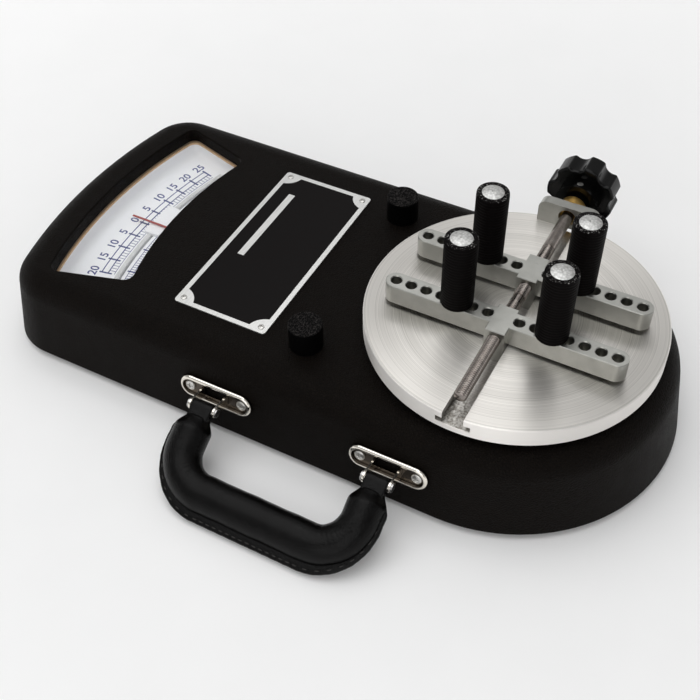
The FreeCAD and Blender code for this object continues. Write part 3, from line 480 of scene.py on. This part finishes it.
def screw_set(name, places, out, radius, height, body, replaced):
    """Several heads as one piece."""
    together = bmesh.new()
    for centre in places:
        together.from_mesh(grid_mesh(name, cross_head(centre, out, radius, height), round_columns=True))
    mesh = bpy.data.meshes.new(name)
    together.to_mesh(mesh)
    together.free()
    piece = place_piece(name, mesh, plated, body, 30.0)
    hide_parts(replaced)


plate_top, screw_across, screw_along = 59.8, 27.75, 65.5
plate_corners = [(plate_x + sx * screw_across, plate_y + sy * screw_along, plate_top)
                 for sx in (-1, 1) for sy in (-1, 1)]
screw_set("nameplate_heads", plate_corners, (0, 0, 1), 2.0, 0.8, "case", "nameplate_screws")

# The two caps: black moulded knobs, screwed on the studs of the spring anchors. They are smooth at the
# side and left rough on top.
cap_black, shader, place = finish("cap_black", Roughness=0.35, Specular_IOR_Level=0.06)
height = place.node("SeparateXYZ", {}, {"Vector": place}, "Z")
top = fade(height, 0.0752, 0.0758)
grit = fade(speckle(place, 0.0007, 3.0), 0.46, 0.66)
feed(shader, "Base Color", between(top * grit, tone(4, 4, 4), tone(62, 59, 58)))
feed(shader, "Roughness", 0.32 + top * 0.4)
emboss(shader, grit * top, 0.0006)
dress(cap_black, "front_cap", "rear_cap")

# The works inside: a cast housing with two ball bearings, a turned spindle, steel anchors and pins,
# and the pointer. None of it but the needle shows while the case is closed.
cast, shader, place = finish("cast_aluminium", Metallic=1.0)
skin = speckle(place, 0.0012, 5.0)
feed(shader, "Base Color", between(skin, tone(150, 150, 150), tone(196, 196, 195)))
feed(shader, "Roughness", 0.45 + skin * 0.2)
emboss(shader, skin, 0.0002)
dress(cast, "bearing_housing", "pointer_arm")
turned, shader, place = finish("turned_steel", Metallic=1.0)
lines = place.node("TexWave", {"bands_direction": "Z"}, {"Vector": place, "Scale": 900.0, "Distortion": 1.5})
feed(shader, "Base Color", between(lines, tone(160, 159, 158), tone(205, 204, 203)))
feed(shader, "Roughness", 0.2 + lines * 0.1)
dress(turned, "spindle", "upper_bearing", "lower_bearing", "spring_anchors", "spring_pins", "hinge_pins")
red_lacquer, shader, place = finish("red_lacquer", Roughness=0.35)
feed(shader, "Base Color", between(speckle(place, 0.002), tone(142, 40, 36), tone(168, 58, 50)))
dress(red_lacquer, "needle")

# The springs: two open coils of steel wire, already drawn out at rest, each hooked by an eye on a pin of
# the pointer arm and on an anchor under a cap. On the instrument they stretch and close as the platform
# turns;
# here they are built at rest and ride no body.
wire_steel, shader, place = finish("spring_wire", Metallic=1.0)
feed(shader, "Base Color", between(speckle(place, 0.001), tone(120, 118, 116), tone(170, 168, 166)))
feed(shader, "Roughness", 0.3 + speckle(place, 0.002) * 0.15)
spring_x = axis_x - 104.4
near_eye, far_eye, eye_radius, wire_radius = 5.3, 63.6, 2.9, 0.5
coil_start, coil_end, coil_turns, coil_radius = 11.0, 57.5, 10, 4.0


def spring_line():
    """The middle of the wire, with its ends on the two pins: a ring left open towards the coil, a helix, and
    another ring. A short running mean rounds the corners where they meet. Gives side, length and height."""
    ring = np.radians(np.linspace(-150, 150, 40))
    turns = np.linspace(0, 2 * np.pi * coil_turns, coil_turns * 40)
    near = np.stack([eye_radius * np.sin(ring), near_eye - eye_radius * np.cos(ring), 0 * ring], 1)
    coil = np.stack([coil_radius * np.cos(turns), np.linspace(coil_start, coil_end, len(turns)),
                     coil_radius * np.sin(turns)], 1)
    far = np.stack([eye_radius * np.sin(ring), far_eye + eye_radius * np.cos(ring), 0 * ring], 1)[::-1]
    corners = np.concatenate([near, coil, far])
    gone = np.concatenate([[0], np.cumsum(np.linalg.norm(np.diff(corners, axis=0), axis=1))])
    even = np.linspace(0, gone[-1], 900)
    line = np.stack([np.interp(even, gone, column) for column in corners.T], 1)
    before, after = np.concatenate([line[:1], line[:-1]]), np.concatenate([line[1:], line[-1:]])
    return (before + line + after) / 3


def round_wire(line, radius):
    """A circle carried along a line. Its first direction is the one before, laid square to the line."""
    heading = np.gradient(line, axis=0)
    heading /= np.linalg.norm(heading, axis=1, keepdims=True)
    first = [np.cross(heading[0], [0.0, 0.0, 1.0])]
    for ahead in heading[1:]:
        first.append(first[-1] - ahead * (first[-1] @ ahead))
        first[-1] /= np.linalg.norm(first[-1])
    first = np.array(first)
    second = np.cross(heading, first)
    angle = np.linspace(0, 2 * np.pi, 10, endpoint=False)[None, :, None]
    points = line[:, None] + radius * (np.cos(angle) * first[:, None] + np.sin(angle) * second[:, None])
    return capped(points)


for side, name in ((-1, "front_spring"), (1, "rear_spring")):
    low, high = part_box(name)
    spring_z = (low[2] + high[2]) * 500.0
    coil_points = round_wire(spring_line(), wire_radius) * [1, side, 1] + [spring_x, axis_y, spring_z]
    coil_mesh = grid_mesh(name + "_coil", coil_points, round_columns=True)
    coil = place_piece(name + "_coil", coil_mesh, wire_steel, None, 60.0)
    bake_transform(coil)
    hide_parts(name)

# The platform: a thick aluminium disc, faced on a lathe and left bright, with a tee slot milled
# across it. The facing cut leaves fine rings, and the slot's floor is scuffed towards its front end.
faced, shader, place = finish("faced_aluminium", Metallic=1.0, Anisotropic=0.82, Anisotropic_Rotation=0.25)
centred = place.node("Mapping", {}, {"Vector": place, "Location": (-axis_x * 0.001, -axis_y * 0.001, 0)})
px, py, pz = place.node("SeparateXYZ", {}, {"Vector": centred}, ("X", "Y", "Z"))
from_axis = length(px.node("CombineXYZ", {}, {"X": px, "Y": py}))
at_edge = from_axis > 0.0884
ring_place = px.node("CombineXYZ", {}, {"X": from_axis * (1 - at_edge), "Y": pz * at_edge})
fine_rings = speckle(ring_place, 1 / 1500, 3.0)
broad_rings = speckle(ring_place, 1 / 160)
in_slot = fade(pz, 0.0745, 0.0735) * (1 - at_edge)
near_front = fade(py, -0.062, -0.074)
scuff = fade(speckle(place, 0.0014, 5.0), 0.36, 0.64) * (0.2 + near_front * 0.6)
ring_tone = fade(fine_rings * 0.72 + broad_rings * 0.28, 0.25, 0.75)
bright = between(ring_tone, tone(182, 179, 174), tone(232, 229, 224))
# Painted highlight: the turned rim is given a near-white colour, brighter than the ringed face.
rings_and_painted_lit_rim = between(at_edge, bright, tone(246, 243, 239))
feed(shader, "Base Color", between(in_slot * scuff, rings_and_painted_lit_rim, tone(138, 133, 124)))
feed(shader, "Roughness", 0.28 + fine_rings * 0.14 + in_slot * scuff * 0.2 + at_edge * 0.2)
emboss(shader, fine_rings * (1 - in_slot) * 0.7 + in_slot * scuff * 1.5, 0.0001)
dress(faced, "platform_disc")

# The jaws and the upright: cut from drawn bar, drilled, then zinc plated to a clouded silver with a faint
# straw tint, through which lines from the drawing show. The bush in the upright is brass.
zinc, shader, place = finish("zinc_plate", Metallic=1.0)
cloud = speckle(place, 0.008, 4.0)
draw_lines = speckle(place.node("Mapping", {}, {"Vector": place, "Scale": (0.05, 1, 1)}), 1 / 2600)
feed(shader, "Base Color", between(cloud, tone(156, 156, 151), tone(186, 186, 181)))
feed(shader, "Roughness", 0.25 + draw_lines * 0.1)
emboss(shader, draw_lines * 0.6 + speckle(place, 0.0007) * 0.4, 0.000005)
dress(zinc, "screw_upright", "front_jaw_bar", "rear_jaw_bar", "front_jaw_foot", "rear_jaw_foot")
brass, shader, place = finish("brass", Metallic=1.0)
feed(shader, "Base Color", between(speckle(place, 0.002, 4.0), tone(190, 146, 72), tone(222, 186, 112)))
feed(shader, "Roughness", 0.25 + speckle(place, 0.001) * 0.15)
dress(brass, "leadscrew_bush")

# The leadscrew: bright steel with 18 threads to the inch, cut right-handed on one half and left-handed
# on the other, with a plain neck between the two and a plain shank where it runs in the bush.
screw_steel, shader, place = finish("leadscrew_steel", Metallic=1.0)
feed(shader, "Base Color", between(speckle(place, 0.003, 4.0), tone(112, 102, 96), tone(164, 158, 153)))
feed(shader, "Roughness", 0.16 + speckle(place, 0.0015) * 0.12)
screw_radius, pitch, screw_z = 3.97, 25.4 / 18, 84.6
front, plain_from, back_end = -81.0, 50.0, 114.85
thread_depth, half_neck, chamfer = 0.62, 3.0, 0.9
run = np.concatenate([np.arange(front, plain_from, pitch / 10), np.linspace(plain_from, back_end, 12)])
run = run[:, None]
angle = np.linspace(0, 2 * np.pi, 40, endpoint=False)[None, :]
hand = np.where(run < 0, 1.0, -1.0)
phase = np.mod(run / pitch + hand * angle / (2 * np.pi), 1.0)
in_neck = np.abs(run) <= half_neck
groove = thread_depth * (1 - np.abs(2 * phase - 1)) * ~in_neck * (run < plain_from) + thread_depth * in_neck
screw_r = screw_radius - 0.02 - groove
screw_r = np.minimum(screw_r, screw_radius - chamfer + np.clip(run - front, 0, chamfer))
body_points = np.stack(np.broadcast_arrays(axis_x + screw_r * np.cos(angle), axis_y + run + 0 * angle,
                                           screw_z + screw_r * np.sin(angle)), -1)
thread_mesh = grid_mesh("leadscrew_thread", capped(body_points), round_columns=True)
thread = place_piece("leadscrew_thread", thread_mesh, screw_steel, "leadscrew", 50.0)
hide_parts("leadscrew")

# The star knob: a glossy black moulding with seven lobes and a hub, pushed on the end of the leadscrew
# and held by a set screw. Fingers have dulled the lobes in places.
knob_gloss, shader, place = finish("knob_gloss", Roughness=0.16, Specular_IOR_Level=0.2)
wear = speckle(place, 0.004, 4.0)
feed(shader, "Base Color", between(wear, tone(2, 2, 2), tone(5, 5, 5)))
feed(shader, "Roughness", 0.1 + wear * 0.16)
emboss(shader, speckle(place, 0.0015), 0.00003)
dress(knob_gloss, "star_knob")

# The posts: steel rods with a domed, galvanised end, standing in the holes of the bars by a spigot.
# Each has a ribbed rubber sleeve pushed over it, cut square so that its cord shows in the cut ring, and the
# cord's ends there are lightened as a painted highlight.
galvanised, shader, place = finish("galvanised", Metallic=1.0)
flakes = place.node("TexVoronoi", {}, {"Vector": place, "Scale": 700.0}, "Distance")
pits = speckle(place, 0.0006, 4.0)
feed(shader, "Base Color", between(flakes, tone(226, 226, 224), tone(166, 166, 164)))
feed(shader, "Roughness", 0.28 + pits * 0.3)
emboss(shader, pits, 0.00015)
dress(galvanised, *[row + "_" + end + "_rod" for row in ("front", "rear") for end in ("left", "right")])
rubber, shader, place = finish("ribbed_rubber", Roughness=0.5, Specular_IOR_Level=0.04)
level = place.node("SeparateXYZ", {}, {"Vector": place}, "Z")
dust = speckle(place, 0.003, 5.0)
cut_end = fade(level, 0.1382, 0.1385)
flecks = fade(speckle(place, 0.0008, 2.0), 0.58, 0.74)
skin = between(dust, tone(3, 2, 2), tone(10, 7, 7))
# The cut ring: the cord's ends, coloured light as a painted highlight on the cut edges.
feed(shader, "Base Color", between(cut_end * flecks, skin, tone(166, 164, 162)))
feed(shader, "Roughness", 0.42 + dust * 0.2)
emboss(shader, speckle(place, 0.0005), 0.00008)
sleeve_low, sleeve_high, sleeve_radius, bore = 91.5, 138.6, 9.525, 6.37
rib_pitch, rib_depth = 2.0, 0.14


def ribbed_sleeve(x, y):
    """A tube whose outside swells and falls with a cosine along its height, and whose ends are cut flat."""
    plain_rim, rim_drop, rim_inset, face_inset = 0.7, 0.2, 0.25, 0.75
    heights = np.arange(sleeve_low, sleeve_high - plain_rim, rib_pitch / 8)
    cut = [sleeve_high - rim_drop, sleeve_high, sleeve_high]
    rim = [sleeve_radius - rim_inset, sleeve_radius - face_inset, bore]
    ribs = sleeve_radius - rib_depth * (0.5 + 0.5 * np.cos(2 * np.pi * (heights - sleeve_low) / rib_pitch))
    radius = np.concatenate([[bore, bore], ribs, rim])
    level = np.concatenate([[sleeve_high, sleeve_low], heights, cut])
    angle = np.linspace(0, 2 * np.pi, 56, endpoint=False)[None, :]
    across, along = x + radius[:, None] * np.cos(angle), y + radius[:, None] * np.sin(angle)
    return np.stack(np.broadcast_arrays(across, along, level[:, None]), -1)


post_along, post_across = 21.65, 28.575
for row, y in (("front", -post_along), ("rear", post_along)):
    for end, x in (("left", -post_across), ("right", post_across)):
        name = row + "_" + end + "_rubber"
        tube = grid_mesh(name, ribbed_sleeve(axis_x + x, axis_y + y), round_columns=True)
        tube = place_piece(name, tube, rubber, row + "_" + end + "_post", 50.0)
        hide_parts(row + "_" + end + "_sleeve")

# The handle brackets: pressed plates with a rolled rim and two folded ears, chromium plated, each
# screwed to the front wall with two cross-head screws.
chrome, shader, place = finish("chrome", Metallic=1.0)
haze = speckle(place, 0.002, 5.0)
lean = math.radians(9.15)
wall_out = np.array([0.0, -math.cos(lean), math.sin(lean)])
case_half_width, foot_height, bracket_height = 106.5, 5.0, 25.8
bracket_y = axis_y - (case_half_width - bracket_height * math.tan(lean))
bracket_z = foot_height + bracket_height
from_wall = place.node("VectorMath", {"operation": "DOT_PRODUCT"}, {0: place, 1: wall_out.tolist()}, "Value")
from_wall = from_wall - (bracket_y * wall_out[1] + bracket_z * wall_out[2]) * 0.001
# Painted shade: the chrome is darker within about 2 mm of the front wall, where it meets the black case.
wall_shade = fade(from_wall, 0.0022, 0.0013)
plated_face = between(haze, tone(222, 215, 203), tone(248, 244, 236))
feed(shader, "Base Color", between(wall_shade, plated_face, tone(84, 77, 70)))
feed(shader, "Roughness", 0.08 + haze * 0.14 + wall_shade * 0.1)
dress(chrome, "left_bracket", "right_bracket")
bracket_centres, screw_reach, bracket_thickness = (-145.95, -30.45), 18.0, 1.2
bracket_heads = [np.array([axis_x + centre + sx * screw_reach, bracket_y, bracket_z])
                 + bracket_thickness * wall_out for centre in bracket_centres for sx in (-1, 1)]
screw_set("bracket_heads", bracket_heads, wall_out, 3.3, 1.5, "case", "bracket_screws")

# The handle: black grained leather sewn round a cord into a tube, with its edges stitched together in
# a flat seam along the outside. The ends are flattened and looped round the hinge pins.
leather, shader, place = finish("handle_leather", Roughness=0.24, Specular_IOR_Level=0.14)
rubbed = speckle(place, 0.009, 4.0)
feed(shader, "Base Color", between(rubbed, tone(1, 1, 1), tone(4, 3, 3)))
feed(shader, "Roughness", 0.14 + rubbed * 0.18)
emboss(shader, pebbles(place, 0.0014) * 0.5 + speckle(place, 0.0022, 3.0) * 0.6, 0.00013)
hinge = np.array([axis_x - 88.2, -90.4304, 33.1455])
lie = math.radians(61.5053)
along_u = np.array([1.0, 0.0, 0.0])
along_v = np.array([0.0, -math.sin(lie), -math.cos(lie)])
along_w = np.array([0.0, -math.cos(lie), math.sin(lie)])
leg, bend_radius, half_span = 23.0, 23.0, 57.75
tab_half_width, tab_half_thickness, tube_half_width, tube_half_thickness = 6.9, 4.6, 11.6, 10.8
bend_length = bend_radius * math.pi / 2
grip_length = 2 * (half_span - bend_radius)
path_length = 2 * leg + 2 * bend_length + grip_length


def handle_line(s):
    """The middle of the handle: its heading turns a quarter circle in each bend, and its place is the sum of
    small steps along the heading. Gives the place in the handle's own plane and the heading."""
    corners = [0, leg, leg + bend_length, leg + bend_length + grip_length, path_length - leg, path_length]
    fine = np.linspace(0, path_length, 4001)
    heading = np.interp(fine, corners, np.array([0, 0, 1, 1, 2, 2]) * math.pi / 2)
    middle = (heading[1:] + heading[:-1]) / 2
    stride = fine[1] - fine[0]
    u = np.concatenate([[0], np.cumsum(np.sin(middle) * stride)]) - half_span
    v = np.concatenate([[0], np.cumsum(np.cos(middle) * stride)])
    return np.interp(s, fine, u), np.interp(s, fine, v), np.interp(s, fine, heading)


def in_place(u, v, w):
    """Points of the handle's own plane, and heights over it, as it hangs."""
    return hinge + u[..., None] * along_u + v[..., None] * along_v + w[..., None] * along_w


def from_end(s):
    """How far a place along the handle is from the nearer end."""
    return np.minimum(s, path_length - s)


def ramp(s, start, end):
    """A smooth step along the handle, the same from both ends."""
    share = np.clip((from_end(s) - start) / (end - start), 0, 1)
    return share * share * (3 - 2 * share)


def leather_tube():
    """An oval carried along the handle's line. Its width and thickness grow from the flat ends to a full
    round, and the inner side of each bend is gathered in creases that run across."""
    tube_start, blunt_to, blunt_length = 5.0, 6.2, 1.3
    s = np.linspace(tube_start, path_length - tube_start, 460)[:, None]
    a = np.linspace(0, 2 * np.pi, 72, endpoint=False)[None, :]
    u, v, heading = handle_line(s)
    blunt = np.sqrt(np.clip(1 - ((blunt_to - from_end(s)).clip(0) / blunt_length) ** 2, 0, 1))
    wide = (tab_half_width + (tube_half_width - tab_half_width) * ramp(s, 4.5, 14.5)) * blunt
    thick = (tab_half_thickness + (tube_half_thickness - tab_half_thickness) * ramp(s, 4.0, 14.5)) * blunt
    rng = np.random.default_rng(4)
    wander = np.interp(s, np.linspace(0, path_length, 60), np.cumsum(rng.normal(0, 0.9, 60)))
    bends = np.exp(-((from_end(s) - leg - bend_length * 0.5) / 14.0) ** 2)
    inner = np.clip(0.35 - np.cos(a), 0, 1)
    crease = np.abs(np.sin(s * 1.05 + wander + 0.5 * np.sin(3 * a))) ** 0.5 - 1
    fold = 0.22 * crease * bends * inner
    swell = 0.1 * np.sin(s * 0.21 + 1.3) * np.cos(2 * a) + 0.05 * np.sin(s * 0.47 + a)
    out = (wide + fold + swell) * np.cos(a)
    rise = (thick + fold + swell) * np.sin(a)
    return capped(in_place(u - out * np.cos(heading), v + out * np.sin(heading), rise))


def seam_reach(s):
    """How far the seam's edge stands from the handle's line: least at the ends, and most along the grip."""
    return 8.5 + 4.75 * ramp(s, 7.0, 17.0) + 3.65 * ramp(s, leg - 4, leg + bend_length)


def seam_strip():
    """A flat rounded strip along the outside of the tube, with a slight wave in its edge."""
    seam_start, root, half_thickness = 9.0, 6.5, 1.45
    s = np.linspace(seam_start, path_length - seam_start, 360)[:, None]
    a = np.linspace(0, 2 * np.pi, 20, endpoint=False)[None, :]
    u, v, heading = handle_line(s)
    edge = seam_reach(s) + 0.07 * np.sin(s * 0.9) + 0.04 * np.sin(s * 2.3)
    square = np.sign(np.cos(a)) * np.abs(np.cos(a)) ** 0.35
    out = (edge + root) / 2 + (edge - root) / 2 * square
    rise = half_thickness * np.sign(np.sin(a)) * np.abs(np.sin(a)) ** 0.5 + 0 * s
    return capped(in_place(u - out * np.cos(heading), v + out * np.sin(heading), rise))


def leather_loop(side):
    """A ring round the pin whose outside is drawn out into a flat tail towards the tube."""
    a = np.linspace(0, 2 * np.pi, 72, endpoint=False)[:, None]
    b = np.linspace(0, 2 * np.pi, 28, endpoint=False)[None, :]
    inner, outer, tail = 2.25, 3.9, 9.5
    towards, over = np.cos(a).clip(1e-6), np.abs(np.sin(a)).clip(1e-6)
    reach = np.where(np.cos(a) > 0, np.minimum(tail / towards, outer / over), outer)
    square = np.sign(np.cos(b)) * np.abs(np.cos(b)) ** 0.4
    radius = (reach + inner) / 2 + (reach - inner) / 2 * square
    across = tab_half_width * np.sign(np.sin(b)) * np.abs(np.sin(b)) ** 0.4 + 0 * a
    return in_place(side * half_span + across, radius * np.cos(a), radius * np.sin(a))


tube_mesh = grid_mesh("handle_tube", leather_tube(), round_columns=True)
tube = place_piece("handle_tube", tube_mesh, leather, "handle", 60.0)
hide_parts("handle_grip")
seam_mesh = grid_mesh("handle_seam", seam_strip(), round_columns=True)
place_piece("handle_seam", seam_mesh, leather, "handle", 60.0)
for side, name in ((-1, "left_loop"), (1, "right_loop")):
    mesh = grid_mesh(name, leather_loop(side), round_rows=True, round_columns=True)
    loop = place_piece(name, mesh, leather, "handle", 50.0)
    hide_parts("handle_tabs")
linen, shader, place = finish("waxed_thread", Roughness=0.6)
feed(shader, "Base Color", between(speckle(place, 0.0006), tone(14, 12, 11), tone(38, 35, 32)))


def stitches():
    """Short thick threads along both faces of the seam: the same small ellipsoid set at even steps."""
    first_stitch, stitch_step, from_edge, seam_face = 13.0, 4.4, 2.2, 1.42
    half_length, half_width, half_height = 1.5, 0.45, 0.4
    s = np.arange(first_stitch, path_length - first_stitch, stitch_step)[:, None, None]
    a = np.linspace(0, np.pi, 6)[None, :, None]
    b = np.linspace(0, 2 * np.pi, 8, endpoint=False)[None, None, :]
    u, v, heading = handle_line(s)
    ahead = half_length * np.cos(a) + 0 * b
    aside = seam_reach(s) - from_edge + half_width * np.sin(a) * np.cos(b)
    blocks = []
    for face in (-1, 1):
        rise = face * seam_face + half_height * np.sin(a) * np.sin(b) + 0 * s
        blocks.append(in_place(u - aside * np.cos(heading) + ahead * np.sin(heading),
                               v + aside * np.sin(heading) + ahead * np.cos(heading), rise))
    return np.concatenate(blocks)


together = bmesh.new()
for bead in stitches():
    together.from_mesh(grid_mesh("stitch", bead, round_columns=True))
stitch_mesh = bpy.data.meshes.new("handle_stitches")
together.to_mesh(stitch_mesh)
together.free()
place_piece("handle_stitches", stitch_mesh, linen, "handle", 80.0)
